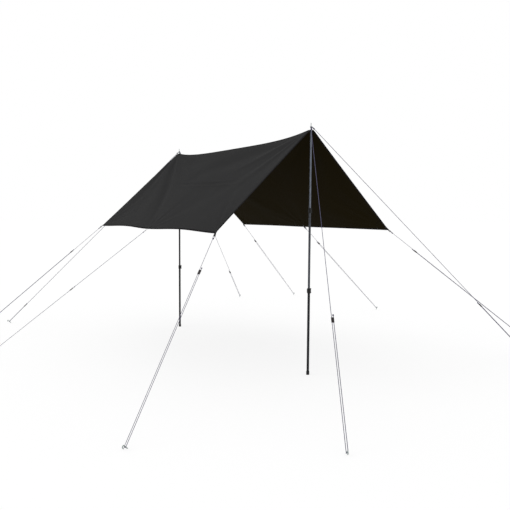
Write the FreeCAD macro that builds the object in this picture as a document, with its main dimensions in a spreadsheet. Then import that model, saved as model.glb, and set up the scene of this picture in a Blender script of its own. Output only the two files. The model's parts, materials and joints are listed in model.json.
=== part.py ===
import FreeCAD, Part
import math
import os

import Sketcher
from FreeCAD import Rotation, Vector

# A tarp shelter: one square canopy pitched as a ridge over two telescopic poles and held by
# ten guy ropes. Millimetres. +Z up, the ridge runs along Y, the front pole stands at -Y, and
# the origin is on the ground midway between the two pole feet.

doc = FreeCAD.newDocument("tarp_shelter")
sheet = doc.addObject("Spreadsheet::Sheet", "Sizes")

SIZES = {
    # the pitched canopy
    "ridge_height": 2400,
    "ridge_sag": 60,
    "ridge_overhang": 18,
    "pole_spacing": 2800,
    "eave_height": 1425,
    "eave_half_width": 1085,
    "eave_length": 2860,
    "eave_scallop": 20,
    "end_scallop": 5,
    "panel_belly": 22,
    "fabric_thickness": 1,
    "sewing_gap": 0.3,
    "webbing_width": 46,
    "webbing_thickness": 1.5,
    "seam_half_gap": 20,
    "patch_size": 150,
    "loop_length": 34,
    "loop_width": 15,
    "loop_opening": 8.4,
    # telescopic poles, from the ground up
    "foot_radius": 15.5,
    "foot_length": 34,
    "foot_floor": 6,
    "lower_radius": 12.5,
    "middle_radius": 11,
    "upper_radius": 9.5,
    "tube_wall": 1.2,
    "running_gap": 0.3,
    "lower_top": 856,
    "middle_bottom": 778,
    "middle_top": 1644,
    "upper_bottom": 1566,
    "upper_top": 2390,
    "bush_length": 24,
    "bush_lip": 4,
    # clamp collars and their cam levers
    "collar_grip": 40,
    "collar_lip": 8,
    "collar_wall": 4.5,
    "ear_width": 10,
    "ear_height": 7,
    "lever_gap": 0.6,
    "lever_eye_radius": 4.5,
    "lever_thickness": 4,
    "lever_sweep": 115,
    "pin_radius": 2,
    "pin_clearance": 0.05,
    # spikes and grommets
    "spike_root_radius": 5,
    "spike_root_top": 2418,
    "spike_radius": 4,
    "spike_neck_top": 2439,
    "spike_end_radius": 3.5,
    "spike_tip": 2470,
    "shoulder_radius": 11,
    "grommet_bore": 5.5,
    "grommet_neck": 7,
    "grommet_radius": 12,
    "grommet_flange": 1.2,
    # guy ropes, sliders and pegs
    "corner_rope_diameter": 4,
    "pole_rope_diameter": 5,
    "strand_spacing": 13.6,
    "knot_distance": 28,
    "knot_spacing": 5.6,
    "rope_tail": 45,
    "loop_above_ridge": 27,
    "loop_bend": 10,
    "bight_bend": 5,
    "bight_clearance": 2.8,
    "slider_length": 42,
    "slider_width": 23,
    "slider_thickness": 9,
    "peg_radius": 4,
    "peg_hook_radius": 9,
    "peg_rope_height": 22,
}
LOOP_NOSE = 2  # how far a webbing loop reaches past the start of its rope
for line, (alias, value) in enumerate(SIZES.items(), start=1):
    sheet.set(f"A{line}", alias)
    sheet.set(f"B{line}", str(value))
    sheet.setAlias(f"B{line}", alias)
doc.recompute()


def size(alias):
    """A driving dimension, read from the sheet."""
    return float(sheet.get(alias))


def bound(text):
    """An expression written with the sheet's aliases, made to name the sheet."""
    words = text.replace("(", " ( ").replace(")", " ) ").split()
    return " ".join(f"Sizes.{word}" if word in SIZES else word for word in words)


def bind(thing, **values):
    """Binds properties of an object to the sheet; x, y and z are its place."""
    for name, text in values.items():
        target = f"Placement.Base.{name}" if name in ("x", "y", "z") else name
        thing.setExpression(target, bound(text))
    return thing


# ---- the building blocks: turned bodies, padded bodies and bound primitives ----


def plane_of(body, role):
    return next(f for f in body.Origin.OriginFeatures if f.Role == role)


def outline(body, role, corners):
    """A closed sketch of straight edges whose corners are bound to the sheet."""
    sketch = body.newObject("Sketcher::SketchObject", body.Name + "_outline")
    sketch.AttachmentSupport = (plane_of(body, role), [""])
    sketch.MapMode = "FlatFace"
    corners = [(bound(across), bound(along)) for across, along in corners]
    places = [Vector(*(float(sheet.evalExpression(e)) for e in pair), 0) for pair in corners]
    for start, end in zip(places, places[1:] + places[:1]):
        sketch.addGeometry(Part.LineSegment(start, end), False)
    for edge in range(len(places)):
        after = (edge + 1) % len(places)
        sketch.addConstraint(Sketcher.Constraint("Coincident", edge, 2, after, 1))
    for edge, (place, pair) in enumerate(zip(places, corners)):
        for letter, distance, text in zip("XY", place, pair):
            if distance == 0:
                rule = Sketcher.Constraint("PointOnObject", edge, 1, -2 if letter == "X" else -1)
                sketch.addConstraint(rule)
                continue
            rule = Sketcher.Constraint(f"Distance{letter}", -1, 1, edge, 1, distance)
            sketch.setExpression(f"Constraints[{sketch.addConstraint(rule)}]", text)
    return sketch


def turned(label, corners, y):
    """A body turned about the pole's axis from half of its section, as (radius, height)."""
    body = doc.addObject("PartDesign::Body", label)
    body.Label = label
    turn = body.newObject("PartDesign::Revolution", label + "_turn")
    turn.Profile = outline(body, "XZ_Plane", corners)
    turn.ReferenceAxis = (turn.Profile[0], ["V_Axis"])
    turn.Angle = 360
    body.Tip = turn
    return bind(body, y=y)


def cylinder(name, radius, height, **place):
    made = doc.addObject("Part::Cylinder", name)
    return bind(made, Radius=radius, Height=height, **place)


def box(name, length, width, height, **place):
    made = doc.addObject("Part::Box", name)
    return bind(made, Length=length, Width=width, Height=height, **place)


def fused(name, shapes):
    made = doc.addObject("Part::MultiFuse", name)
    made.Shapes = shapes
    return made


def cut(name, base, tool):
    made = doc.addObject("Part::Cut", name)
    made.Base, made.Tool = base, tool
    made.Label = name
    return made


# ---- telescopic poles ----


def tube(label, radius, bottom, top, y):
    bore = f"{radius} - tube_wall"
    return turned(label, [(bore, bottom), (radius, bottom), (radius, top), (bore, top)], y)


def foot(label, y):
    """A cap under the lower tube, with a floor for the tube's end."""
    corners = [("0", "0"), ("foot_radius", "0"), ("foot_radius", "foot_length")]
    corners += [("lower_radius", "foot_length"), ("lower_radius", "foot_floor"), ("0", "foot_floor")]
    return turned(label, corners, y)


def bush(label, inner_radius, outer_radius, bottom, y):
    """A guide pressed into a tube's lower end, with a lip that runs in the tube around it."""
    bore = f"{inner_radius} - tube_wall - tube_wall"
    seat = f"{inner_radius} - tube_wall"
    lip = f"{outer_radius} - tube_wall - running_gap / 3"
    corners = [(bore, f"{bottom} - bush_lip"), (lip, f"{bottom} - bush_lip"), (lip, bottom)]
    corners += [(seat, bottom), (seat, f"{bottom} + bush_length"), (bore, f"{bottom} + bush_length")]
    return turned(label, corners, y)


def spike(label, y):
    """A plug in the upper tube, with a shoulder under the canopy and a stepped pin through it."""
    plug = "upper_radius - tube_wall"
    ledge = "ridge_height - grommet_flange"
    corners = [("0", "upper_top - 24"), (plug, "upper_top - 24"), (plug, "upper_top")]
    corners += [("shoulder_radius", "upper_top"), ("shoulder_radius", ledge)]
    corners += [("spike_root_radius", ledge), ("spike_root_radius", "spike_root_top")]
    corners += [("spike_radius", "spike_root_top"), ("spike_radius", "spike_neck_top")]
    corners += [("spike_end_radius", "spike_neck_top"), ("spike_end_radius", "spike_tip - 4")]
    corners += [("spike_end_radius / 2", "spike_tip"), ("0", "spike_tip")]
    return turned(label, corners, y)


def grommet(label, y):
    """An eyelet clenched through the ridge webbing, with a flange on each side."""
    bottom, top = "ridge_height", "ridge_height + webbing_thickness"
    bore, neck, rim = "grommet_bore", "grommet_neck", "grommet_radius"
    corners = [(bore, f"{bottom} - grommet_flange"), (rim, f"{bottom} - grommet_flange")]
    corners += [(rim, bottom), (neck, bottom), (neck, top), (rim, top)]
    corners += [(rim, f"{top} + grommet_flange"), (bore, f"{top} + grommet_flange")]
    return turned(label, corners, y)


def collar(label, outer, inner, top, y):
    """A clamp on the end of one tube, with two ears that hold a cam lever's pin."""
    low, tall = f"{top} - collar_grip", "collar_grip + collar_lip"
    pin_x = f"{outer} + collar_wall + lever_gap + lever_eye_radius"
    body = [cylinder(label + "_sleeve", f"{outer} + collar_wall", tall, z=low)]
    for part, base in (("low_ear", low), ("high_ear", f"{top} + collar_lip - ear_height")):
        ear = box(f"{label}_{part}", f"{pin_x} + ear_width / 2 - {outer}", "ear_width", "ear_height")
        body.append(bind(ear, x=outer, y="0 - ear_width / 2", z=base))
    holes = [
        cylinder(label + "_grip_bore", outer, "collar_grip", z=low),
        cylinder(label + "_lip_bore", f"{inner} + running_gap", tall, z=low),
        cylinder(label + "_pin_hole", "pin_radius", tall, x=pin_x, z=low),
    ]
    return bind(cut(label, fused(label + "_body", body), fused(label + "_holes", holes)), y=y)


def lever_pin(label, outer, top, y):
    pin_x = f"{outer} + collar_wall + lever_gap + lever_eye_radius"
    made = cylinder(label, "pin_radius", "collar_grip + collar_lip")
    made.Label = label
    return bind(made, x=pin_x, y=y, z=f"{top} - collar_grip")


def lever(label, outer, top, y):
    """A cam lever: an eye on the pin and a curved arm that lies round the closed collar."""
    reach = f"{outer} + collar_wall + lever_gap"
    low = f"{top} - collar_grip + ear_height + running_gap"
    tall = "collar_grip + collar_lip - 2 * ear_height - 2 * running_gap"
    arm = cylinder(label + "_arm", f"{reach} + lever_thickness", tall, z=low, Angle="lever_sweep")
    eye = cylinder(label + "_eye", "lever_eye_radius", tall, x=f"{reach} + lever_eye_radius", z=low)
    holes = [
        cylinder(label + "_inside", reach, tall, z=low),
        cylinder(label + "_bore", "pin_radius + pin_clearance", tall, z=low),
    ]
    bind(holes[1], x=f"{reach} + lever_eye_radius")
    return bind(cut(label, fused(label + "_body", [arm, eye]), fused(label + "_holes", holes)), y=y)


def pole(end, y):
    """Every piece of one pole, standing at y."""
    joints = (
        ("lower", "lower_radius", "middle_radius", "lower_top"),
        ("upper", "middle_radius", "upper_radius", "middle_top"),
    )
    pieces = [
        foot(f"{end}_foot", y),
        tube(f"{end}_lower_tube", "lower_radius", "foot_floor", "lower_top", y),
        tube(f"{end}_middle_tube", "middle_radius", "middle_bottom", "middle_top", y),
        tube(f"{end}_upper_tube", "upper_radius", "upper_bottom", "upper_top", y),
        bush(f"{end}_middle_bush", "middle_radius", "lower_radius", "middle_bottom", y),
        bush(f"{end}_upper_bush", "upper_radius", "middle_radius", "upper_bottom", y),
        spike(f"{end}_spike", y),
        grommet(f"{end}_grommet", y),
    ]
    for place, outer, inner, top in joints:
        pieces.append(collar(f"{end}_{place}_collar", outer, inner, top, y))
        pieces.append(lever(f"{end}_{place}_lever", outer, top, y))
        pieces.append(lever_pin(f"{end}_{place}_lever_pin", outer, top, y))
    return pieces


# ---- the canopy ----


def ridge_height(y):
    """The height of the ridge, which drops from each pole and runs nearly level between them."""
    return size("ridge_height") - size("ridge_sag") * (1 - (2 * y / size("pole_spacing")) ** 4)


def panel_point(side, along, down):
    """A point of the canopy's upper face. down runs from 0 at the ridge to 1 at the eave."""
    middle = 4 * down * (1 - down)
    ridge_end = size("pole_spacing") / 2 + size("ridge_overhang")
    end = ridge_end + (size("eave_length") / 2 - ridge_end) * down
    seam = size("seam_half_gap")
    eave = size("eave_half_width") - size("eave_scallop") * math.sin(math.pi * along) ** 2
    ridge_z = ridge_height(along * ridge_end)
    return Vector(
        side * (seam + (eave - seam) * down),
        along * (end - size("end_scallop") * middle),
        ridge_z + (size("eave_height") - ridge_z) * down - size("panel_belly") * middle * (1 - along**2),
    )


def fabric(side, alongs, downs, thickness, below=0.0):
    """A thin solid under the part of a panel that the two spans cover."""
    rows = [[panel_point(side, along, down) for down in downs] for along in alongs]
    surface = Part.BSplineSurface()
    surface.interpolate([[point - Vector(0, 0, below) for point in row] for row in rows])
    return Part.makeSolid(surface.toShape().extrude(Vector(0, 0, -thickness)))


def span(first, last, count):
    return [first + (last - first) * step / (count - 1) for step in range(count)]


def feature(label, shape):
    made = doc.addObject("Part::Feature", label)
    made.Label = label
    made.Shape = shape
    made.Placement = FreeCAD.Placement()
    return made


def canopy_panel(label, side):
    """Half of the canopy, from the ridge webbing down to one eave."""
    return feature(label, fabric(side, span(-1, 1, 17), span(0, 1, 9), size("fabric_thickness")))


def ridge_webbing(label):
    """A flat tape over the ridge seam, clenched between the flanges of each grommet."""
    half, thickness = size("webbing_width") / 2, size("webbing_thickness")
    top, pole_y = size("ridge_height"), size("pole_spacing") / 2
    end = pole_y + size("ridge_overhang")
    rows = [[Vector(x, y, ridge_height(y)) for x in (-half, 0, half)] for y in span(-end, end, 17)]
    surface = Part.BSplineSurface()
    surface.interpolate(rows)
    shape = Part.makeSolid(surface.toShape().extrude(Vector(0, 0, thickness)))
    clear = 10
    for y in (-pole_y, pole_y):
        neck = Part.makeCylinder(size("grommet_neck"), 2 * clear, Vector(0, y, top - clear))
        below = Part.makeCylinder(size("grommet_radius"), clear, Vector(0, y, top - clear))
        above = Part.makeCylinder(size("grommet_radius"), clear, Vector(0, y, top + thickness))
        shape = shape.cut(neck).cut(below).cut(above)
    return feature(label, shape)


def patches(label):
    """Reinforcing patches sewn under the four corners and the two middles of the eaves."""
    wide = size("patch_size") / (size("eave_length") / 2)
    slope = math.hypot(size("eave_half_width"), size("ridge_height") - size("eave_height"))
    downs = span(1 - size("patch_size") / slope, 1, 4)
    thickness = size("fabric_thickness")
    below = thickness + size("sewing_gap")
    shapes = []
    for side in (-1, 1):
        for first, last in ((-1, wide - 1), (-wide / 2, wide / 2), (1 - wide, 1)):
            shapes.append(fabric(side, span(first, last, 5), downs, thickness, below))
    return feature(label, Part.makeCompound(shapes))


# ---- guy ropes: each with a slider on its doubled end and a peg ----


class Guy:
    """Where one rope runs. It leaves start, a loop on the canopy or round a spike."""

    def __init__(self, name, start, peg, slider_at, on_spike):
        self.name, self.slider_at, self.on_spike = name, slider_at, on_spike
        self.diameter = size("pole_rope_diameter" if on_spike else "corner_rope_diameter")
        half_knot = size("knot_spacing") / 2
        target = Vector(*peg, size("peg_rope_height"))
        self.away = Vector(target.x - start.x, target.y - start.y, 0).normalize()
        self.side = Vector(0, 0, 1).cross(self.away)
        self.centre = start if on_spike else start + self.side * half_knot
        self.start = self.centre - self.side * half_knot
        if on_spike:
            self.start += self.away * self.stand_off()
            target -= self.side * half_knot
        self.along = (target - self.start).normalize()
        self.length = (target - self.start).Length
        self.up = self.along.cross(self.side)

    def stand_off(self):
        """How far in front of the spike's axis the rope turns down towards its peg."""
        return 2.5 * size("spike_radius")

    def at(self, along, across=0.0, up=0.0):
        """A point by its distance along the rope, to its side and above it."""
        return self.start + self.along * along + self.side * across + self.up * up

    def route(self):
        """The rope's corner points, each with the radius of the bend there."""
        spacing, knot = size("strand_spacing"), size("knot_distance")
        turn = spacing / 2
        points = [(self.at(knot, size("knot_spacing")), None)]
        points += self.spike_loop(turn) if self.on_spike else self.webbing_bight()
        points.append((self.at(knot), knot))
        points += [(self.at(self.length + turn, across), turn) for across in (0, spacing)]
        points.append((self.at(self.slider_at - size("rope_tail"), spacing), None))
        return points

    def spike_loop(self, turn):
        """Once round the spike, level, and then down on both sides."""
        front, edge = self.centre + self.away * self.stand_off(), self.centre - self.away * turn
        bend = size("loop_bend")
        corners = ((front, 1, bend), (edge, 1, turn), (edge, -1, turn), (front, -1, bend))
        return [(place + self.side * (turn * way), radius) for place, way, radius in corners]

    def webbing_bight(self):
        """Through the webbing loop from one side to the other."""
        bend = size("bight_bend")
        wide = size("loop_width") / 2 + self.diameter / 2 + size("bight_clearance")
        edge = self.centre - self.along * bend
        return [(edge + self.side * (wide * way), bend) for way in (1, -1)]


def bent_wire(points):
    """Straight runs joined by tangent arcs; points are (place, radius of the bend)."""
    edges, radii = [], []
    here = points[0][0]
    for (corner, radius), (after, _) in zip(points[1:-1], points[2:]):
        back, ahead = (here - corner).normalize(), (after - corner).normalize()
        half = back.getAngle(ahead) / 2
        reach = radius / math.tan(half)
        centre = corner + (back + ahead).normalize() * (radius / math.sin(half))
        start, end = corner + back * reach, corner + ahead * reach
        middle = centre + (corner - centre).normalize() * radius
        if (start - here).Length > 1e-4:
            edges.append(Part.LineSegment(here, start).toShape())
        edges.append(Part.Arc(start, middle, end).toShape())
        radii.append(radius)
        here = end
    edges.append(Part.LineSegment(here, points[-1][0]).toShape())
    return Part.Wire(edges), radii


def bent_bar(points, diameter):
    """A round bar or rope swept along its bent wire, checked against section times length."""
    wire, radii = bent_wire(points)
    start, heading = points[0][0], points[1][0] - points[0][0]
    ring = Part.Wire([Part.Circle(start, heading, diameter / 2).toShape()])
    solid = wire.makePipeShell([ring], True, False)
    expected = math.pi * diameter**2 / 4 * wire.Length
    if abs(solid.Volume - expected) > 0.01 * expected:
        raise RuntimeError(f"a swept bar has {solid.Volume:.0f} mm3 and not {expected:.0f} mm3")
    return solid, wire.Length, radii


def rope(guy):
    solid, length, radii = bent_bar(guy.route(), guy.diameter)
    print(f"{guy.name}: {length:.0f} mm of rope, bends of {', '.join(f'{r:.1f}' for r in radii)} mm")
    return feature(f"{guy.name}_guy", solid)


def slider(guy):
    """A runner with a hole for each of the rope's two strands."""
    label = f"{guy.name}_slider"
    body = doc.addObject("PartDesign::Body", label)
    body.Label = label
    block = body.newObject("PartDesign::Pad", label + "_block")
    wide, thick = "slider_width", "slider_thickness"
    corners = [("0", "0"), (wide, "0"), (wide, thick), ("0", thick)]
    block.Profile = outline(body, "XY_Plane", corners)
    bind(block, Length="slider_length")
    doc.recompute()
    soften = body.newObject("PartDesign::Fillet", label + "_rounded")
    soften.Base = (block, [f"Edge{n + 1}" for n, e in enumerate(block.Shape.Edges) if is_upright(e)])
    bind(soften, Radius="slider_thickness / 3")
    drilled = body.newObject("Sketcher::SketchObject", label + "_holes")
    drilled.AttachmentSupport = (plane_of(body, "XY_Plane"), [""])
    drilled.MapMode = "FlatFace"
    for number, way in enumerate(("-", "+")):
        across = bound(f"slider_width / 2 {way} strand_spacing / 2")
        x, y = float(sheet.evalExpression(across)), size("slider_thickness") / 2
        hole = guy.diameter / 2 + size("running_gap")
        drilled.addGeometry(Part.Circle(Vector(x, y, 0), Vector(0, 0, 1), hole), False)
        rules = (
            (Sketcher.Constraint("DistanceX", -1, 1, number, 3, x), across),
            (Sketcher.Constraint("DistanceY", -1, 1, number, 3, y), bound("slider_thickness / 2")),
            (
                Sketcher.Constraint("Radius", number, hole),
                bound(("pole" if guy.on_spike else "corner") + "_rope_diameter / 2 + running_gap"),
            ),
        )
        for rule, text in rules:
            drilled.setExpression(f"Constraints[{drilled.addConstraint(rule)}]", text)
    bores = body.newObject("PartDesign::Pocket", label + "_bores")
    bores.Profile = drilled
    bores.Type = "ThroughAll"
    bores.Reversed = True
    body.Tip = bores
    corner = Vector(size("slider_width") / 2, size("slider_thickness") / 2, size("slider_length") / 2)
    turn = Rotation(guy.side, guy.along.cross(guy.side), guy.along, "ZXY")
    middle = guy.at(guy.slider_at, size("strand_spacing") / 2)
    body.Placement = FreeCAD.Placement(middle - turn.multVec(corner), turn)
    return body


def is_upright(edge):
    ends = [vertex.Point for vertex in edge.Vertexes]
    return abs(ends[0].z - ends[-1].z) > 1


def peg(guy):
    """The part of a hooked peg above the ground, leaning away from the rope."""
    hook = size("peg_hook_radius")
    axis = guy.at(guy.length, size("strand_spacing") / 2)
    lean = guy.up
    foot_end = axis - lean * ((axis.z + 10) / lean.z)
    top = axis + lean * (size("peg_radius") + guy.diameter + 2 * hook)
    over = top + guy.along * (2 * hook)
    points = [(foot_end, None), (top, hook), (over, hook), (over - lean * (2 * hook), None)]
    bar, _, _ = bent_bar(points, 2 * size("peg_radius"))
    ground = Part.makeBox(200, 200, 100, axis - Vector(100, 100, axis.z + 100))
    return bar.cut(ground)


def webbing_loop(guy):
    """A folded tape sewn to the canopy's edge; the rope passes through it sideways."""
    gap, thick, wide = size("loop_opening"), size("webbing_thickness"), size("loop_width")
    outer, inner = gap / 2 + thick, gap / 2
    twist = Rotation(guy.along, guy.side, guy.up, "XYZ")
    place = guy.at(LOOP_NOSE - size("loop_length"), (size("knot_spacing") - wide) / 2)
    straight = size("loop_length") - outer

    def stadium(radius):
        bar = Part.makeBox(straight, wide, 2 * radius, Vector(0, 0, -radius))
        nose = Part.makeCylinder(radius, wide, Vector(straight, 0, 0), Vector(0, 1, 0))
        return bar.fuse(nose)

    shape = stadium(outer).cut(stadium(inner)).removeSplitter()
    shape.Placement = FreeCAD.Placement(place, twist)
    return shape


def guys():
    """The ten ropes: where each starts, where its peg stands and where its slider is."""
    half_pole, half_eave = size("pole_spacing") / 2, size("eave_length") / 2
    half_width, eave = size("eave_half_width"), size("eave_height")
    loop = size("ridge_height") + size("loop_above_ridge")
    stacked = loop + 1.3 * size("pole_rope_diameter")
    corner_runs = (
        ("front_left", (-half_width, -half_eave), (-2175, -2080), 385),
        ("front_right", (half_width, -half_eave), (3070, -1980), 392),
        ("rear_left", (-half_width, half_eave), (-2340, 2670), 515),
        ("rear_right", (half_width, half_eave), (3245, 2915), 552),
        ("middle_left", (-half_width, 0), (-2665, 750), 990),
        ("middle_right", (half_width, 0), (3395, 880), 437),
    )
    pole_runs = (
        ("front_pole_forward", -half_pole, loop, (-980, -2980), 2058),
        ("front_pole_side", -half_pole, stacked, (2535, -2215), 2710),
        ("rear_pole_left", half_pole, loop, (-1940, 2955), 3115),
        ("rear_pole_right", half_pole, stacked, (2210, 3260), 2960),
    )
    reach = size("loop_length") - LOOP_NOSE
    made = []
    for name, (x, y), stake, slider_at in corner_runs:
        pull = Vector(*stake, 0) - Vector(x, y, eave)
        start = Vector(x, y, eave) + pull.normalize() * reach
        made.append(Guy(name, start, stake, slider_at, False))
    for name, y, height, stake, slider_at in pole_runs:
        made.append(Guy(name, Vector(0, y, height), stake, slider_at, True))
    return made


pieces = pole("front", "0 - pole_spacing / 2") + pole("rear", "pole_spacing / 2")
pieces += [canopy_panel("canopy_left", -1), canopy_panel("canopy_right", 1)]
pieces += [ridge_webbing("ridge_webbing"), patches("corner_patches")]
ropes = guys()
for guy in ropes:
    pieces += [rope(guy), slider(guy)]
loops = [webbing_loop(guy) for guy in ropes if not guy.on_spike]
pieces.append(feature("tie_out_loops", Part.makeCompound(loops)))
pieces.append(feature("pegs", Part.makeCompound([peg(g) for g in ropes])))
doc.recompute()

for thing in doc.Objects:
    if {"Invalid", "Error"} & set(thing.State):
        raise RuntimeError(f"{thing.Label} failed to build: {thing.State}")
for piece in pieces:
    if piece.Shape.isNull() or not piece.Shape.isValid() or piece.Shape.Volume <= 0:
        raise RuntimeError(f"{piece.Label} has no valid solid")

os.makedirs("parts", exist_ok=True)
for piece in pieces:
    piece.Shape.exportStep(f"parts/{piece.Label}.step")
print(f"{len(pieces)} nodes written")
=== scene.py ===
import json
import math

import bpy
import numpy as np
from mathutils import Matrix, Vector


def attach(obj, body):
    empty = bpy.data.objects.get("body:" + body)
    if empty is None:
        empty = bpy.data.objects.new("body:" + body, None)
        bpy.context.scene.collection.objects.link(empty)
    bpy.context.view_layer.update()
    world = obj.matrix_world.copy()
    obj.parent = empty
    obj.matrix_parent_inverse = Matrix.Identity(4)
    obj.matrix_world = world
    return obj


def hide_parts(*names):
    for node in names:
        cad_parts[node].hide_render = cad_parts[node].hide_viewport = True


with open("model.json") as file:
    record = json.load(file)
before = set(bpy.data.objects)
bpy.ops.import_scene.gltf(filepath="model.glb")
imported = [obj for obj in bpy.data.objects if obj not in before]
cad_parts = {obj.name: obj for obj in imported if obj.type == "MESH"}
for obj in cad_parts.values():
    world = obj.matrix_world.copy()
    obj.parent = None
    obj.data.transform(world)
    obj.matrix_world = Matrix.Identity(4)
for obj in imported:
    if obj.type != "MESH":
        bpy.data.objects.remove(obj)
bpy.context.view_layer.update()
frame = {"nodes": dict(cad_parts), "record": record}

# A pitched tarp shelter in metres, in the CAD model's frame: +Z up, the ridge along Y, the open
# front at -Y, and the origin on the ground midway between the two pole feet.

NODES = frame["nodes"]
UP = Vector((0, 0, 1))

POLE_Y = 1.4
RIDGE_Z, RIDGE_SAG = 2.4, 0.06
RIDGE_END = 1.418  # the cloth runs a little past each pole
EAVE_X, EAVE_Y, EAVE_Z = 1.085, 1.43, 1.425
SEAM_HALF = 0.02  # half of the flat strip along the ridge
CLOTH = 0.001  # the cloth's thickness

# ---- camera ----

camera = bpy.data.objects.new("camera", bpy.data.cameras.new("camera"))
bpy.context.collection.objects.link(camera)
bpy.context.scene.camera = camera
EYE = (-3.533, -5.614, 1.610)
LENS, SENSOR = 39.53, 36  # millimetres
VIEW_END = 200
yaw, pitch, roll = math.radians(34.42), math.radians(-4.38), math.radians(0.35)
look = Vector((math.sin(yaw) * math.cos(pitch), math.cos(yaw) * math.cos(pitch), math.sin(pitch)))
level = look.cross(UP).normalized()
upright = level.cross(look)
across = level * math.cos(roll) + upright * math.sin(roll)
tall = upright * math.cos(roll) - level * math.sin(roll)
facing = Matrix((across, tall, -look)).transposed().to_4x4()
camera.matrix_world = Matrix.Translation(EYE) @ facing
camera.data.sensor_width = SENSOR
camera.data.lens = LENS
camera.data.clip_end = VIEW_END

# ---- guy ropes ----

STRANDS = 0.0136  # between the two strands below a slider
KNOT_AT, KNOT_STRANDS = 0.028, 0.0056  # the top knot's distance, and between its strands
TAIL = 0.045  # the rope's end above its slider
LOOP_REACH = 0.032  # from the canopy's edge to the rope's own loop
LOOP_Z = RIDGE_Z + 0.027
STACKED = 0.0065  # the second loop on a spike lies this far above the first
ON_SPIKE, ON_TAPE = 0.005, 0.004  # rope diameters
PEG_Z = 0.022  # where a rope bends round its peg
SPIKE_SIDE = 0.01  # a spike's loop closes this far from its axis
TAPE_HALF, CLEAR = 0.0075, 0.0028  # a tie-out tape's half width, and the rope's gap beside it
NOSE = 0.005  # the rope's loop reaches this far inside the tape's
EASE = 6  # diameters from an end to the next point of a long straight run


class Guy:
    """One rope: from a webbing loop or a spike to its peg, and doubled back to its slider."""

    def __init__(self, name, start, stake, slider_at, on_spike):
        self.name, self.slider_at, self.on_spike = name, slider_at, on_spike
        self.diameter = ON_SPIKE if on_spike else ON_TAPE
        target = Vector((*stake, PEG_Z))
        start = Vector(start)
        if not on_spike:
            start += (Vector((*stake, 0)) - start).normalized() * LOOP_REACH
        self.away = Vector((target.x - start.x, target.y - start.y, 0)).normalized()
        self.side = UP.cross(self.away)
        self.centre = start if on_spike else start + self.side * (KNOT_STRANDS / 2)
        self.start = self.centre - self.side * (KNOT_STRANDS / 2)
        if on_spike:
            self.start += self.away * SPIKE_SIDE
            target -= self.side * (KNOT_STRANDS / 2)
        self.along = (target - self.start).normalized()
        self.length = (target - self.start).length
        self.up = self.along.cross(self.side)

    def at(self, along, over=0.0, above=0.0):
        """The point this far along the rope's first strand, and to its side and above it."""
        return self.start + self.along * along + self.side * over + self.up * above

    def route(self):
        """The rope's control points, with one more near each end of its long straight runs."""
        turn, ease = STRANDS / 2, EASE * self.diameter
        points = [self.at(KNOT_AT, KNOT_STRANDS)]
        if self.on_spike:
            front, edge = self.centre + self.away * SPIKE_SIDE, self.centre - self.away * turn
            points += [front + self.side * turn, edge + self.side * turn]
            points += [edge - self.side * turn, front - self.side * turn]
        else:
            wide = TAPE_HALF + self.diameter / 2 + CLEAR
            nose = self.centre - self.along * NOSE
            points += [nose + self.side * (wide * way) for way in (1, -1)]
        points += [self.at(KNOT_AT), self.at(KNOT_AT + ease), self.at(self.length + turn - ease)]
        points += [self.at(self.length + turn), self.at(self.length + turn, STRANDS)]
        points += [self.at(self.length + turn - ease, STRANDS), self.at(self.slider_at - TAIL, STRANDS)]
        return points


# name, the webbing loop or spike, the peg, the slider's distance, and whether it is on a spike
GUYS = [
    Guy("front_left", (-EAVE_X, -EAVE_Y, EAVE_Z), (-2.175, -2.080), 0.385, False),
    Guy("front_right", (EAVE_X, -EAVE_Y, EAVE_Z), (3.070, -1.980), 0.392, False),
    Guy("rear_left", (-EAVE_X, EAVE_Y, EAVE_Z), (-2.340, 2.670), 0.515, False),
    Guy("rear_right", (EAVE_X, EAVE_Y, EAVE_Z), (3.245, 2.915), 0.552, False),
    Guy("middle_left", (-EAVE_X, 0, EAVE_Z), (-2.665, 0.750), 0.990, False),
    Guy("middle_right", (EAVE_X, 0, EAVE_Z), (3.395, 0.880), 0.437, False),
    Guy("front_pole_forward", (0, -POLE_Y, LOOP_Z), (-0.980, -2.980), 2.058, True),
    Guy("front_pole_side", (0, -POLE_Y, LOOP_Z + STACKED), (2.535, -2.215), 2.710, True),
    Guy("rear_pole_left", (0, POLE_Y, LOOP_Z), (-1.940, 2.955), 3.115, True),
    Guy("rear_pole_right", (0, POLE_Y, LOOP_Z + STACKED), (2.210, 3.260), 2.960, True),
]


def linked(name, data):
    made = bpy.data.objects.new(name, data)
    bpy.context.collection.objects.link(made)
    return made


def spline_curve(name, points, radius, resolution=18):
    """A smooth round cord whose NURBS line has these control points."""
    curve = bpy.data.curves.new(name, "CURVE")
    curve.dimensions = "3D"
    curve.bevel_depth = 1
    curve.bevel_resolution = 2
    curve.resolution_u = resolution
    curve.use_fill_caps = True
    line = curve.splines.new("NURBS")
    line.points.add(len(points) - 1)
    for point, place in zip(line.points, points):
        point.co = (*place, 1)
        point.radius = radius
    line.order_u = 3
    line.use_endpoint_u = True
    return linked(name, curve)


ropes = {}
for guy in GUYS:
    rope = spline_curve(f"{guy.name}_rope", guy.route(), guy.diameter / 2)
    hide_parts(f"{guy.name}_guy")
    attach(rope, "canopy")
    ropes[guy.name] = rope

STEPS_PER_WRAP = 10


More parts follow.
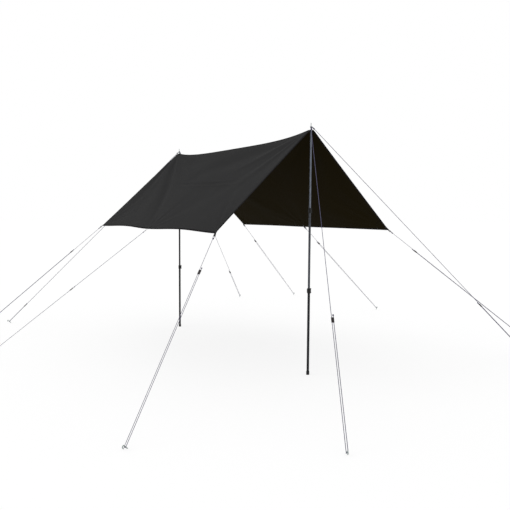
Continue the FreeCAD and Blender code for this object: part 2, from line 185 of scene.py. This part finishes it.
def knot(name, guy, along, over, reach, wraps, wide):
    """A few close turns of the same rope round its strands, drawn tight."""
    steps = STEPS_PER_WRAP * wraps
    places = []
    for step in range(steps + 1):
        angle = math.tau * wraps * step / steps
        shift = reach * (step / steps - 0.5)
        swing = wide * math.cos(angle)
        places.append(guy.at(along + shift, over + swing, guy.diameter * 0.95 * math.sin(angle)))
    made = spline_curve(name, places, guy.diameter * 0.46, 4)
    mesh = bpy.data.meshes.new_from_object(made)
    bpy.data.objects.remove(made)
    mesh.name = name
    made = linked(name, mesh)
    mesh.shade_smooth()
    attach(made, "canopy")
    return made


WRAPS = 3
knots = {}
for guy in GUYS:
    thick, between = guy.diameter, KNOT_STRANDS / 2
    top_wide, stop_at = between + thick * 0.85, guy.slider_at - TAIL + 0.005
    top = knot(f"{guy.name}_top_knot", guy, KNOT_AT - 0.001, between, thick * 3.2, WRAPS, top_wide)
    stop = knot(f"{guy.name}_stopper_knot", guy, stop_at, STRANDS, thick * 2.0, WRAPS, thick * 0.8)
    knots[guy.name] = [top, stop]
    guy.at(0)

# ---- materials ----


class Finish:
    """A node material built up from procedural textures."""

    def __init__(self, name, color, rough, metal=0.0, sheen=0.0, shine=0.3):
        self.material = bpy.data.materials.new(name)
        self.material.use_nodes = True
        self.tree = self.material.node_tree
        self.shader = self.tree.nodes["Principled BSDF"]
        self.color, self.height = color, None
        self.shader.inputs["Base Color"].default_value = (*color, 1)
        self.shader.inputs["Roughness"].default_value = rough
        self.shader.inputs["Metallic"].default_value = metal
        self.shader.inputs["Sheen Weight"].default_value = sheen
        self.shader.inputs["Sheen Roughness"].default_value = 0.5
        self.shader.inputs["Specular IOR Level"].default_value = 0.5 if metal else shine

    def node(self, kind, links=(), **inputs):
        """A new shader node with these settings or input values, and links to its inputs."""
        made = self.tree.nodes.new("ShaderNode" + kind)
        for name, value in inputs.items():
            if hasattr(made, name):
                setattr(made, name, value)
            else:
                made.inputs[name.replace("_", " ")].default_value = value
        for target, source in dict(links).items():
            self.tree.links.new(source, made.inputs[target])
        return made

    def place(self, kind="Object", scale=(1, 1, 1), turn=(0, 0, 0)):
        source = self.node("TexCoord").outputs[kind]
        return self.node("Mapping", {"Vector": source}, Scale=scale, Rotation=turn).outputs[0]

    def noise(self, size, detail=4, where=None):
        """Noise from 0 to 1 with features of about this size in metres."""
        links = {"Vector": where or self.place()}
        return self.node("TexNoise", links, Scale=1 / size, Detail=detail).outputs[0]

    def spread(self, value, low, high, new_low=0.0, new_high=1.0):
        """The value between low and high, stretched to the new range."""
        span = {"From_Min": low, "From_Max": high, "To_Min": new_low, "To_Max": new_high}
        return self.node("MapRange", {"Value": value}, **span).outputs[0]

    def math(self, operation, first, second):
        made = self.node("Math", operation=operation)
        for socket, value in zip(made.inputs, (first, second)):
            if isinstance(value, (int, float)):
                socket.default_value = value
            else:
                self.tree.links.new(value, socket)
        return made.outputs[0]

    def tint(self, factor, dark, light):
        """Colours the surface between two shades of its own colour."""
        ramp = self.node("ValToRGB", {"Fac": factor})
        for element, shade in zip(ramp.color_ramp.elements, (dark, light)):
            channels = shade if isinstance(shade, tuple) else tuple(shade * c for c in self.color)
            element.color = (*channels, 1)
        self.tree.links.new(ramp.outputs[0], self.shader.inputs["Base Color"])

    def rough(self, factor, low, high):
        self.tree.links.new(self.spread(factor, 0.3, 0.7, low, high), self.shader.inputs["Roughness"])

    def bump(self, height, depth, strength=1.0):
        links = {"Height": height}
        if self.height:
            links["Normal"] = self.height
        made = self.node("Bump", links, Strength=strength, Distance=depth)
        self.height = made.outputs[0]
        self.tree.links.new(self.height, self.shader.inputs["Normal"])

    def weave(self, pitch, kind="UV", turn=0.0):
        """Two crossing sets of threads, as a height from 0 to 1."""
        sets = []
        for angle in (0.0, math.pi / 2):
            where = self.place(kind, (1 / pitch,) * 3, (0, 0, turn + angle))
            wave = self.node("TexWave", {"Vector": where}, Scale=0.5, Distortion=0.6, Detail_Scale=2.0)
            sets.append(wave.outputs[1])
        return self.math("MULTIPLY", *sets)


def fabric_finish(name, color, rough, sheen, light, shine=0.02):
    """Woven polyester: fine threads, slight clouds of shade and small creases."""
    made = Finish(name, color, rough, sheen=sheen, shine=shine)
    clouds = made.noise(0.35, 5)
    grain = made.noise(0.004, 2)
    shade = made.math("ADD", made.math("MULTIPLY", clouds, 0.75), made.math("MULTIPLY", grain, 0.25))
    made.tint(shade, 0.86, light)
    made.rough(clouds, rough - 0.06, rough + 0.06)
    made.bump(made.weave(0.0012), 0.0002, 0.5)
    made.bump(made.noise(0.05, 3), 0.0012, 0.35)
    return made.material


OUTER, INNER, EDGE = (0.0215, 0.0215, 0.0218), (0.0078, 0.0056, 0.0017), (0.009, 0.008, 0.009)
outer_cloth = fabric_finish("canopy_outer", OUTER, 0.75, 0.01, 1.14)
inner_cloth = fabric_finish("canopy_inner", INNER, 0.7, 0.0, 1.4, shine=0.008)
hem_cloth = fabric_finish("canopy_hem", EDGE, 0.8, 0.0, 1.2)


def tape_finish(name, color):
    """Woven webbing with a herringbone rib."""
    made = Finish(name, color, 0.8, sheen=0.02, shine=0.08)
    rib = made.weave(0.0022, turn=math.pi / 4)
    made.tint(made.noise(0.03, 4), 0.8, 1.25)
    made.bump(rib, 0.0005, 0.8)
    made.bump(made.noise(0.002, 2), 0.0002, 0.4)
    return made.material


webbing_tape = tape_finish("webbing_tape", (0.014, 0.014, 0.015))


def rope_finish():
    """A braided cord: diamonds of thread with painted shade in the grooves between them, and a dark
    fleck.
    """
    made = Finish("guy_rope_braid", (0.100, 0.094, 0.155), 0.7, sheen=0.02, shine=0.06)
    heights = []
    for way in (1, -1):
        where = made.place("UV", (700, 2 * way, 1))
        wave = made.node("TexWave", {"Vector": where}, Scale=1.0)
        wave.bands_direction = "DIAGONAL"
        heights.append(wave.outputs[1])
    braid = made.math("MAXIMUM", *heights)
    # Painted shade: the colour darkens in the grooves between the threads, and also in random dark
    # flecks.
    made.tint(made.math("MULTIPLY", braid, made.noise(0.02, 3)), 0.62, 1.35)
    made.bump(braid, 0.0004, 0.8)
    return made.material


rope_braid = rope_finish()


def moulded_finish(name, color, rough):
    """Moulded plastic or rubber with a fine spark-eroded grain and a little handling wear."""
    made = Finish(name, color, rough)
    wear = made.noise(0.03, 6)
    made.tint(made.spread(wear, 0.35, 0.75), 0.85, 1.35)
    made.rough(wear, rough - 0.08, rough + 0.1)
    made.bump(made.noise(0.0011, 3), 0.00012, 0.6)
    return made.material


def metal_finish(name, color, rough, scratch=(60, 60, 900)):
    """Drawn or turned metal, brushed round its axis, with faint scuffs."""
    made = Finish(name, color, rough, metal=0.85)
    brushed = made.noise(1.0, 3, made.place(scale=scratch))
    scuffs = made.noise(0.05, 6)
    made.tint(made.spread(scuffs, 0.3, 0.8), 0.82, 1.25)
    made.rough(brushed, rough - 0.07, rough + 0.1)
    made.bump(brushed, 0.00006, 0.4)
    return made.material


FINISHES = {
    "guy_rope": rope_braid,
    "webbing": webbing_tape,
    "slider_plastic": moulded_finish("slider_plastic", (0.012, 0.008, 0.009), 0.45),
    "clamp_plastic": moulded_finish("clamp_plastic", (0.003, 0.003, 0.0032), 0.6),
    "foot_rubber": moulded_finish("foot_rubber", (0.006, 0.006, 0.006), 0.75),
    "grommet_brass": metal_finish("grommet_blackened", (0.05, 0.05, 0.052), 0.4),
    "steel": metal_finish("steel_plated", (0.30, 0.34, 0.33), 0.42),
    "upper_tube_aluminium": metal_finish("upper_tube_anodised", (0.145, 0.160, 0.195), 0.42),
    "middle_tube_aluminium": metal_finish("middle_tube_anodised", (0.060, 0.065, 0.075), 0.45),
    "lower_tube_aluminium": metal_finish("lower_tube_anodised", (0.018, 0.019, 0.022), 0.48),
}
# The rear pole's middle and lower tubes get darker copies of the tube finishes than the front pole's:
# painted shade, not a finish of their own.
REAR_PAINTED_SHADE_FINISHES = {
    "rear_middle_tube": metal_finish("rear_middle_tube_anodised_painted_shade", (0.011, 0.011, 0.012), 0.5),
    "rear_lower_tube": metal_finish("rear_lower_tube_anodised_painted_shade", (0.0025, 0.0025, 0.0028), 0.55),
}
SLOTS = {row["node"]: row["material_slot"] for row in frame["record"]["subparts"]}
for node, thing in NODES.items():
    finish = REAR_PAINTED_SHADE_FINISHES.get(node) or FINISHES.get(SLOTS[node])
    if finish:
        thing.data.materials.clear()
        thing.data.materials.append(finish)
for guy in GUYS:
    for thing in (ropes[guy.name], *knots[guy.name]):
        thing.data.materials.append(rope_braid)

# Edge radii of the moulded and turned parts, by the last word of the node's name.
SOFT_EDGES = {"slider": 0.0012, "collar": 0.0008, "lever": 0.0006, "foot": 0.0010, "grommet": 0.0003}
for node, thing in NODES.items():
    width = SOFT_EDGES.get(node.rsplit("_", 1)[-1])
    if width:
        weld = thing.modifiers.new("weld", "WELD")
        weld.merge_threshold = 1e-5
        bevel = thing.modifiers.new("soft_edges", "BEVEL")
        bevel.width = width
        bevel.segments = 2
        bevel.limit_method = "ANGLE"
        bevel.angle_limit = math.radians(40)
        bevel.harden_normals = True

# ---- the canopy: one continuous sheet over the ridge ----


GROMMET = 0.014  # radius


def ridge_z(y):
    """The ridge is level over each grommet and sags between the poles."""
    near = np.minimum(1.0, np.abs(y) / (POLE_Y - GROMMET))
    return RIDGE_Z - RIDGE_SAG * (1 - near**4)


PANEL = math.hypot(EAVE_X - SEAM_HALF, RIDGE_Z - EAVE_Z)


def fan(a, b, at, turns, peak, height, phase):
    """Tension folds that fan out from an anchor at (down the panel, along it)."""
    far = np.hypot(a - at[0], b - at[1]) + 1e-6
    angle = np.arctan2(b - at[1], a - at[0])
    swell = far / peak * np.exp(1 - far / peak)
    folds = np.sin(turns * angle + phase) + 0.45 * np.sin(turns * 1.73 * angle + 2.1 * phase)
    return height * swell * folds


def crease(a, b, start, end, width, height):
    """One soft fold along a line from start to end, dying away at both ends."""
    start, end = np.array(start), np.array(end)
    run = end - start
    length = np.hypot(*run)
    run = run / length
    along = ((a - start[0]) * run[0] + (b - start[1]) * run[1]) / length
    off = (a - start[0]) * -run[1] + (b - start[1]) * run[0]
    fade = np.clip(np.sin(np.pi * np.clip(along, 0, 1)), 0, 1) ** 0.6
    return height * fade * np.exp(-((off / width) ** 2))


def folds(side, a, b):
    """How far the cloth stands out of its smooth shape, a down the panel and b along the ridge.

    A crease has its start, its end, its width and how far it stands out, in metres.
    """
    out = fan(a, b, (0, -POLE_Y), 13, 0.36, 0.0036, 0.4)
    out += fan(a, b, (0, POLE_Y), 13, 0.34, 0.0050, 1.3)
    for number, corner in enumerate((-EAVE_Y, EAVE_Y)):
        out += fan(a, b, (PANEL, corner), 17, 0.20, 0.0020, 0.9 + number + side)
    out += fan(a, b, (PANEL, 0), 11, 0.16, 0.0022, 0.2 + side)
    if side < 0:
        out += crease(a, b, (0.0, POLE_Y), (1.36, 0.04), 0.060, -0.017)
        out += crease(a, b, (0.02, POLE_Y - 0.1), (1.30, 0.45), 0.130, 0.010)
        out += crease(a, b, (0.02, POLE_Y - 0.12), (0.50, 0.30), 0.070, 0.009)
        out += crease(a, b, (0.03, 0.35 - POLE_Y), (0.42, 0.30), 0.120, -0.014)
        out += crease(a, b, (0.0, -POLE_Y), (0.46, -0.55), 0.050, 0.008)
        out += crease(a, b, (0.62, 0.50), (0.66, -1.05), 0.012, -0.0090)
        out += crease(a, b, (0.65, 0.50), (0.69, -1.05), 0.020, 0.0065)
    else:
        out += crease(a, b, (0.0, POLE_Y), (1.42, 0.02), 0.100, -0.005)
        out += crease(a, b, (0.0, -POLE_Y), (1.40, -0.04), 0.055, 0.009)
        out += crease(a, b, (0.1, 0.1 - POLE_Y), (1.25, -0.55), 0.080, 0.006)
    soft = np.sin(3.1 * b + 1.7 * a + side) * np.sin(2.3 * a - 1.1 * b + 0.5)
    return out + 0.004 * soft


RIDGE_BEND = 0.003  # how softly the cloth turns over the seam strip's edge
PANEL_SAG = 0.022
END_SCALLOP, EAVE_SCALLOP = 0.005, 0.020
EAVE_LIFT_LEFT, EAVE_LIFT_RIGHT = 0.014, 0.003


def canopy(u, v):
    """Points of the canopy's upper face for u across, -1 to 1, and v along, -1 to 1."""
    u, v = np.asarray(u, float), np.asarray(v, float)
    side = np.where(u < 0, -1.0, 1.0)
    x = np.abs(u) * EAVE_X
    down = RIDGE_BEND * np.logaddexp(0, (x - SEAM_HALF) / RIDGE_BEND) / (EAVE_X - SEAM_HALF)
    middle = 4 * down * (1 - down)
    end = RIDGE_END + (EAVE_Y - RIDGE_END) * down
    y = v * (end - END_SCALLOP * middle)
    top = ridge_z(v * RIDGE_END)
    wave = np.sin(np.pi * v) ** 2
    z = top + (EAVE_Z - top) * down - PANEL_SAG * middle * (1 - v**2)
    z = z + np.where(side < 0, EAVE_LIFT_LEFT, EAVE_LIFT_RIGHT) * wave * down**3
    x = x - EAVE_SCALLOP * wave * down
    a, b = down * PANEL, y
    # The folds die away at the ridge and towards the hems.
    hold = np.clip(down * 12, 0, 1) * np.clip((1.04 - down) * 6, 0.12, 1)
    hold = hold * np.clip((1.02 - np.abs(v)) * 9, 0.10, 1)
    out = np.where(side < 0, folds(-1, a, b), folds(1, a, b)) * hold
    slope = math.atan2(RIDGE_Z - EAVE_Z, EAVE_X - SEAM_HALF)
    tilt = np.clip(down * 60, 0, 1) * slope
    return np.stack([side * (x + np.sin(tilt) * out), y, z + np.cos(tilt) * out], axis=-1)


def grid_mesh(name, points, uv, materials):
    """A smooth mesh from a grid of points with their UVs in metres."""
    rows, columns = points.shape[:2]
    index = np.arange(rows * columns).reshape(rows, columns)
    corners = [index[:-1, :-1], index[:-1, 1:], index[1:, 1:], index[1:, :-1]]
    quads = np.stack(corners, axis=-1).reshape(-1, 4)
    mesh = bpy.data.meshes.new(name)
    mesh.from_pydata(points.reshape(-1, 3).tolist(), [], quads.tolist())
    layer = mesh.uv_layers.new(name="weave")
    layer.data.foreach_set("uv", uv.reshape(-1, 2)[quads.reshape(-1)].ravel())
    for material in materials:
        mesh.materials.append(material)
    mesh.shade_smooth()
    return linked(name, mesh)


def spaced(total, step):
    """Values from -1 to 1 whose gaps are about step in a length of total."""
    return np.linspace(-1, 1, 2 * round(total / step / 2) + 1)


# Narrow faces where the cloth turns at the ridge, then even ones.
near_seam = np.array([0.0, 0.008, 0.014, 0.018, 0.021, 0.025, 0.032, 0.045]) / EAVE_X
half = np.concatenate([near_seam, np.linspace(0.06 / EAVE_X, 1, 72)])
us = np.concatenate([-half[:0:-1], half])
GRID = 0.018
vs = spaced(2 * EAVE_Y, GRID)
grid_u, grid_v = np.meshgrid(us, vs)
uv = np.stack([grid_u * (PANEL + SEAM_HALF), grid_v * EAVE_Y], axis=-1)
sheet = grid_mesh("canopy_sheet", canopy(grid_u, grid_v), uv, [outer_cloth, inner_cloth, hem_cloth])
thick = sheet.modifiers.new("cloth", "SOLIDIFY")
thick.thickness = CLOTH
thick.offset = -1  # all of it below the upper face
thick.material_offset = 1
thick.material_offset_rim = 2
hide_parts("canopy_left", "canopy_right")
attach(sheet, "canopy")

# ---- the hem, seams and reinforcements ----


def normals(u, v):
    """Unit normals of the canopy's upper face."""
    step = 1e-3
    across = canopy(u + step, v) - canopy(u - step, v)
    along = canopy(u, v + step) - canopy(u, v - step)
    out = np.cross(across, along)
    return out / np.linalg.norm(out, axis=-1, keepdims=True)


def over(u, v, height):
    """Points on the canopy, or this far above its upper face."""
    return canopy(u, v) + normals(u, v) * np.asarray(height)[..., None]


def joined(name, parts, materials, smooth=True):
    """One mesh from (points, faces) parts."""
    points, faces, first = [], [], 0
    for places, polygons in parts:
        points.append(np.asarray(places).reshape(-1, 3))
        faces += (np.asarray(polygons) + first).tolist()
        first += len(points[-1])
    mesh = bpy.data.meshes.new(name)
    mesh.from_pydata(np.concatenate(points).tolist(), [], faces)
    for material in materials:
        mesh.materials.append(material)
    if smooth:
        mesh.shade_smooth()
    made = linked(name, mesh)
    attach(made, "canopy")
    return made


def loft(rows, closed=False):
    """Quads between rows of points; closed joins the last point of each row to its first."""
    rows = np.asarray(rows)
    count, wide = rows.shape[:2]
    index = np.arange(count * wide).reshape(count, wide)
    if closed:
        index = np.concatenate([index, index[:, :1]], axis=1)
    corners = [index[:-1, :-1], index[1:, :-1], index[1:, 1:], index[:-1, 1:]]
    return rows, np.stack(corners, axis=-1).reshape(-1, 4)


def stitches(points, up, length=0.0034, gap=0.0052, wide=0.0007, high=0.0005):
    """Stitches along a line, each a small raised diamond of thread; up is the cloth's normal."""
    steps = np.linalg.norm(np.diff(points, axis=0), axis=1)
    at = np.concatenate([[0], np.cumsum(steps)])
    middles = np.arange(gap / 2, at[-1], gap)

    def sample(values, where):
        return np.stack([np.interp(where, at, values[:, k]) for k in range(3)], axis=-1)

    middle, normal = sample(points, middles), sample(up, middles)
    ahead = sample(points, middles + length / 2) - sample(points, middles - length / 2)
    ahead /= np.linalg.norm(ahead, axis=1, keepdims=True) + 1e-12
    aside = np.cross(normal, ahead)
    corners = [
        middle - ahead * length / 2, middle + aside * wide / 2, middle + ahead * length / 2,
        middle - aside * wide / 2, middle + normal * high,
    ]
    places = np.stack(corners, axis=1).reshape(-1, 3)
    first = np.arange(len(middles))[:, None, None] * 5
    triangles = np.array([[1, 0, 4], [2, 1, 4], [3, 2, 4], [0, 3, 4]])
    return places, (first + triangles).reshape(-1, 3)


# Heights here are from the canopy's upper face; the cloth's under face is at -CLOTH.
HEM = 0.020  # width
HEM_OVER, HEM_UNDER = 0.0009, -0.0019
PATCH_OVER, PATCH_UNDER = -0.0011, -0.0017
RIDGE_CLEAR = 0.024  # the hem's stitches stop this far from the ridge line


def edge_loop(inset, step=0.02):
    """u and v once round the canopy at this distance in from its edge."""
    u_far, v_far = 1 - inset / (PANEL + SEAM_HALF), 1 - inset / EAVE_Y
    across = spaced(2 * (PANEL + SEAM_HALF), step)[:-1]
    along = spaced(2 * EAVE_Y, step)[:-1]
    one_across, one_along = np.ones(len(across)), np.ones(len(along))
    u = np.concatenate([across, one_along, -across, -one_along])
    v = np.concatenate([-one_across, along, one_across, -along])
    return np.append(u, u[0]) * u_far, np.append(v, v[0]) * v_far


# The folded hem's section: distance in from the edge, and height.
profile = [
    (HEM + 0.0005, 0.0001), (HEM, 0.0008), (0.002, HEM_OVER), (-0.0006, 0.0007),
    (-0.0014, -0.0005),
    (-0.0006, -0.0017), (0.002, HEM_UNDER), (HEM, -0.0018), (HEM + 0.0005, -0.0011),
]
band = []
for inset, height in profile:
    u, v = edge_loop(inset)
    # The hem is pressed thin where it passes the ridge tape.
    clear = np.clip((np.abs(u) * EAVE_X - 0.018) / 0.012, 0.05, 1)
    band.append(over(u, v, (height + 0.0005) * clear - 0.0005))
hem = joined("canopy_hem", [loft(band)], [hem_cloth])

thread = moulded_finish("sewing_thread", (0.030, 0.030, 0.032), 0.6)
rows = []
for inset in (0.0025, HEM - 0.003):
    u, v = edge_loop(inset)
    up = normals(u, v)
    keep = np.abs(u) * EAVE_X > RIDGE_CLEAR
    for height, way in ((HEM_OVER, 1), (HEM_UNDER, -1)):
        line = over(u, v, np.full_like(u, height))
        breaks = np.flatnonzero(np.diff(keep.astype(int)))
        for part in np.split(np.arange(len(u)), breaks + 1):
            if len(part) > 3 and keep[part].all():
                rows.append(stitches(line[part], up[part] * way))

v = spaced(2 * RIDGE_END, 0.01)
y = v * RIDGE_END
# The ridge tape's section: across, and height.
tape_profile = [
    (-0.0232, 0.0002), (-0.0230, 0.0012), (-0.0150, 0.0015), (0.0, 0.0014), (0.0150, 0.0015),
    (0.0230, 0.0012), (0.0232, 0.0002), (0.0, 0.0002),
]
tape_rows = []
for x, height in tape_profile:
    tape_rows.append(np.stack([np.full_like(y, x), y, ridge_z(y) + height], axis=-1))
tape = joined("ridge_tape", [loft(np.stack(tape_rows, axis=1), closed=True)], [webbing_tape])
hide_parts("ridge_webbing")
for x in (-0.0195, -0.0145, 0.0145, 0.0195):
    line = np.stack([np.full_like(y, x), y, ridge_z(y) + 0.00145], axis=-1)
    rows.append(stitches(line, np.tile([0, 0, 1.0], (len(y), 1))))


def smooth_line(points, per=8):
    """Points along a Catmull-Rom curve through these."""
    points = np.asarray(points, float)
    padded = np.concatenate([[2 * points[0] - points[1]], points, [2 * points[-1] - points[-2]]])
    t = np.linspace(0, 1, per, endpoint=False)[:, None]
    out = []
    for p0, p1, p2, p3 in zip(padded, padded[1:], padded[2:], padded[3:]):
        square, cube = 2 * p0 - 5 * p1 + 4 * p2 - p3, 3 * p1 - p0 - 3 * p2 + p3
        out.append(0.5 * (2 * p1 + (p2 - p0) * t + square * t**2 + cube * t**3))
    return np.concatenate(out + [points[-1:]])


def strap(line, side, width, thickness):
    """A flat tape along a line; side is its direction across."""
    ahead = np.gradient(line, axis=0)
    ahead /= np.linalg.norm(ahead, axis=1, keepdims=True)
    out = np.cross(side, ahead)
    out /= np.linalg.norm(out, axis=1, keepdims=True)
    half, deep, soft = width / 2, thickness / 2, 0.0006
    above = [(-half, 0), (soft - half, deep), (half - soft, deep)]
    section = above + [(half, 0), (half - soft, -deep), (soft - half, -deep)]
    return loft(np.stack([line + side * w + out * h for w, h in section], axis=1), closed=True)


TAB, TAPE_WIDE, TAPE_THICK = 0.055, 2 * TAPE_HALF, 0.0014
TAPE_OVER, TAPE_UNDER = 0.0018, -0.0030  # the tape's middle, from the canopy's upper face


def tie_out(guy, u0, v0):
    """The tape that is sewn over and under a corner and makes its loop, and the seams on it."""
    pull = np.array(guy.along)
    small = 1e-3
    down = canopy(u0, v0) - canopy(u0 * (1 - small), v0)
    along = canopy(u0, v0 * 0.999 + small * (v0 == 0)) - canopy(u0, v0 * 0.999 - small)
    down, along = down / np.linalg.norm(down), along / np.linalg.norm(along)
    way = np.array([pull @ down, pull @ along])
    way /= np.linalg.norm(way)

    def inside(s, w, height):
        """A point s metres in from the corner against the pull, and w to its side."""
        a, b = s * way[0] - w * way[1], s * way[1] + w * way[0]
        u = u0 * (1 - a / (PANEL + SEAM_HALF))
        return over(np.array(u), np.array(v0 - b / EAVE_Y), np.array(height))

    guy_side = np.array(guy.side)
    flip = 1 if (inside(0.02, 0.005, 0) - inside(0.02, 0, 0)) @ guy_side > 0 else -1
    middle = KNOT_STRANDS / 2
    sewn = (TAB, 0.042, 0.030, 0.018, 0.006)  # in from the edge, with the tape lying on the cloth
    top_in = [inside(s, 0, TAPE_OVER) for s in sewn]
    low_in = [inside(s, 0, TAPE_UNDER) for s in sewn[::-1]]
    out = [(-0.022, 0.0036), (-0.013, 0.0047), (-0.0037, 0.0049), (-0.0002, 0.0035), (0.0012, 0)]
    free = [guy.at(a, middle, h) for a, h in out] + [guy.at(a, middle, -h) for a, h in out[-2::-1]]
    line = smooth_line([*top_in, *[np.array(p) for p in free], *low_in])
    cross_in = (inside(0.03, 0.005 * flip, 0) - inside(0.03, 0, 0)) / 0.005
    outward = (line - np.array(canopy(u0, v0))) @ pull
    blend = np.clip((outward + 0.008) / 0.016, 0, 1)[:, None]
    side = cross_in * (1 - blend) + guy_side * blend
    side /= np.linalg.norm(side, axis=1, keepdims=True)
    seams = []
    near, away, wide = 0.009, 0.050, 0.0052
    box = [(near, -wide), (near, wide), (away, wide), (away, -wide), (near, -wide)]
    cross = [(away, wide), (near, -wide)], [(near, wide), (away, -wide)]
    normal = normals(np.array(u0 * 0.98), np.array(v0 * 0.98))
    for height, sign in ((TAPE_OVER + TAPE_THICK / 2, 1), (TAPE_UNDER - TAPE_THICK / 2, -1)):
        for path in (box, *cross):
            for (s0, w0), (s1, w1) in zip(path, path[1:]):
                steps = np.linspace(0, 1, max(3, round(math.hypot(s1 - s0, w1 - w0) / 0.005)))
                run = [(s0 + (s1 - s0) * k, w0 + (w1 - w0) * k) for k in steps]
                points = np.array([inside(s, w, height) for s, w in run])
                up = np.tile(normal * sign, (len(points), 1))
                seams.append(stitches(points, up, 0.0022, 0.0031, 0.0006))
    return strap(line, side, TAPE_WIDE, TAPE_THICK), seams


loops = []
CORNERS = {
    "front_left": (-1, -1),
    "front_right": (1, -1),
    "rear_left": (-1, 1),
    "rear_right": (1, 1),
    "middle_left": (-1, 0),
    "middle_right": (1, 0),
}
for guy in GUYS[:6]:
    part, seams = tie_out(guy, *CORNERS[guy.name])
    loops.append(part)
    rows += seams
tie_outs = joined("tie_out_tapes", loops, [webbing_tape])
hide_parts("tie_out_loops")

PATCH = 0.145  # radius of the reinforcing patches under the cloth
patches = []
for u0, v0 in CORNERS.values():
    first, last = (0, math.pi / 2) if v0 else (-math.pi / 2, math.pi / 2)
    angles = np.linspace(first, last, 13 if v0 else 25)
    radii = np.array([0.004, 0.03, 0.06, 0.09, 0.12, 0.135, PATCH])
    radius, angle = np.meshgrid(radii, angles)
    v_way = -v0 if v0 else 1

    def patch_uv(radius, angle):
        a, b = radius * np.cos(angle) + 0.003, radius * np.sin(angle) + (0.003 if v0 else 0)
        return u0 * (1 - a / (PANEL + SEAM_HALF)), v0 + v_way * b / EAVE_Y

    u, v = patch_uv(radius, angle)
    under = over(u, v, np.full_like(u, PATCH_UNDER))
    side_up = over(u, v, np.full_like(u, PATCH_OVER))
    patches.append(loft(np.concatenate([under, side_up[:, ::-1]], axis=1), closed=True))
    for inset in (0.004, 0.012):
        u, v = patch_uv(PATCH - inset, np.linspace(first + 0.03, last - 0.03, 60))
        up = normals(u, v)
        rows.append(stitches(over(u, v, np.full_like(u, 0.0)), up))
        rows.append(stitches(over(u, v, np.full_like(u, PATCH_UNDER)), -up))
reinforcements = joined("corner_reinforcements", patches, [inner_cloth])
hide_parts("corner_patches")
stitching = joined("stitching", rows, [thread], smooth=False)

# ---- floor and light ----

bpy.context.scene.view_settings.view_transform = "Standard"
FLOOR_HALF = 90
FLOOR_SHADE, FLOOR_GLOW = 0.22, 0.77  # a pale floor with a soft, faint shadow
SKY, SUN, SUN_SPREAD, SUN_WAY = 1.0, 0.45, 25, (8, -5, -7)
corners = [(x * FLOOR_HALF, y * FLOOR_HALF, 0) for x, y in ((-1, -1), (1, -1), (1, 1), (-1, 1))]
mesh = bpy.data.meshes.new("floor")
mesh.from_pydata(corners, [], [(0, 1, 2, 3)])
floor = linked("floor", mesh)
plain = Finish("floor", (FLOOR_SHADE,) * 3, 0.95, shine=0.0)
plain.tint(plain.noise(1.5, 3), 0.995, 1.0)
plain.shader.inputs["Emission Color"].default_value = (1, 1, 1, 1)
plain.shader.inputs["Emission Strength"].default_value = FLOOR_GLOW
mesh.materials.append(plain.material)

world = bpy.data.worlds.new("studio")
bpy.context.scene.world = world
world.use_nodes = True
world.node_tree.nodes["Background"].inputs["Color"].default_value = (1, 1, 1, 1)
world.node_tree.nodes["Background"].inputs["Strength"].default_value = SKY

sun = linked("sun", bpy.data.lights.new("sun", "SUN"))
sun.data.energy = SUN
sun.data.angle = math.radians(SUN_SPREAD)
sun.rotation_euler = Vector(SUN_WAY).to_track_quat("-Z", "Y").to_euler()

# ---- bring the scene up to date ----

bpy.context.view_layer.update()
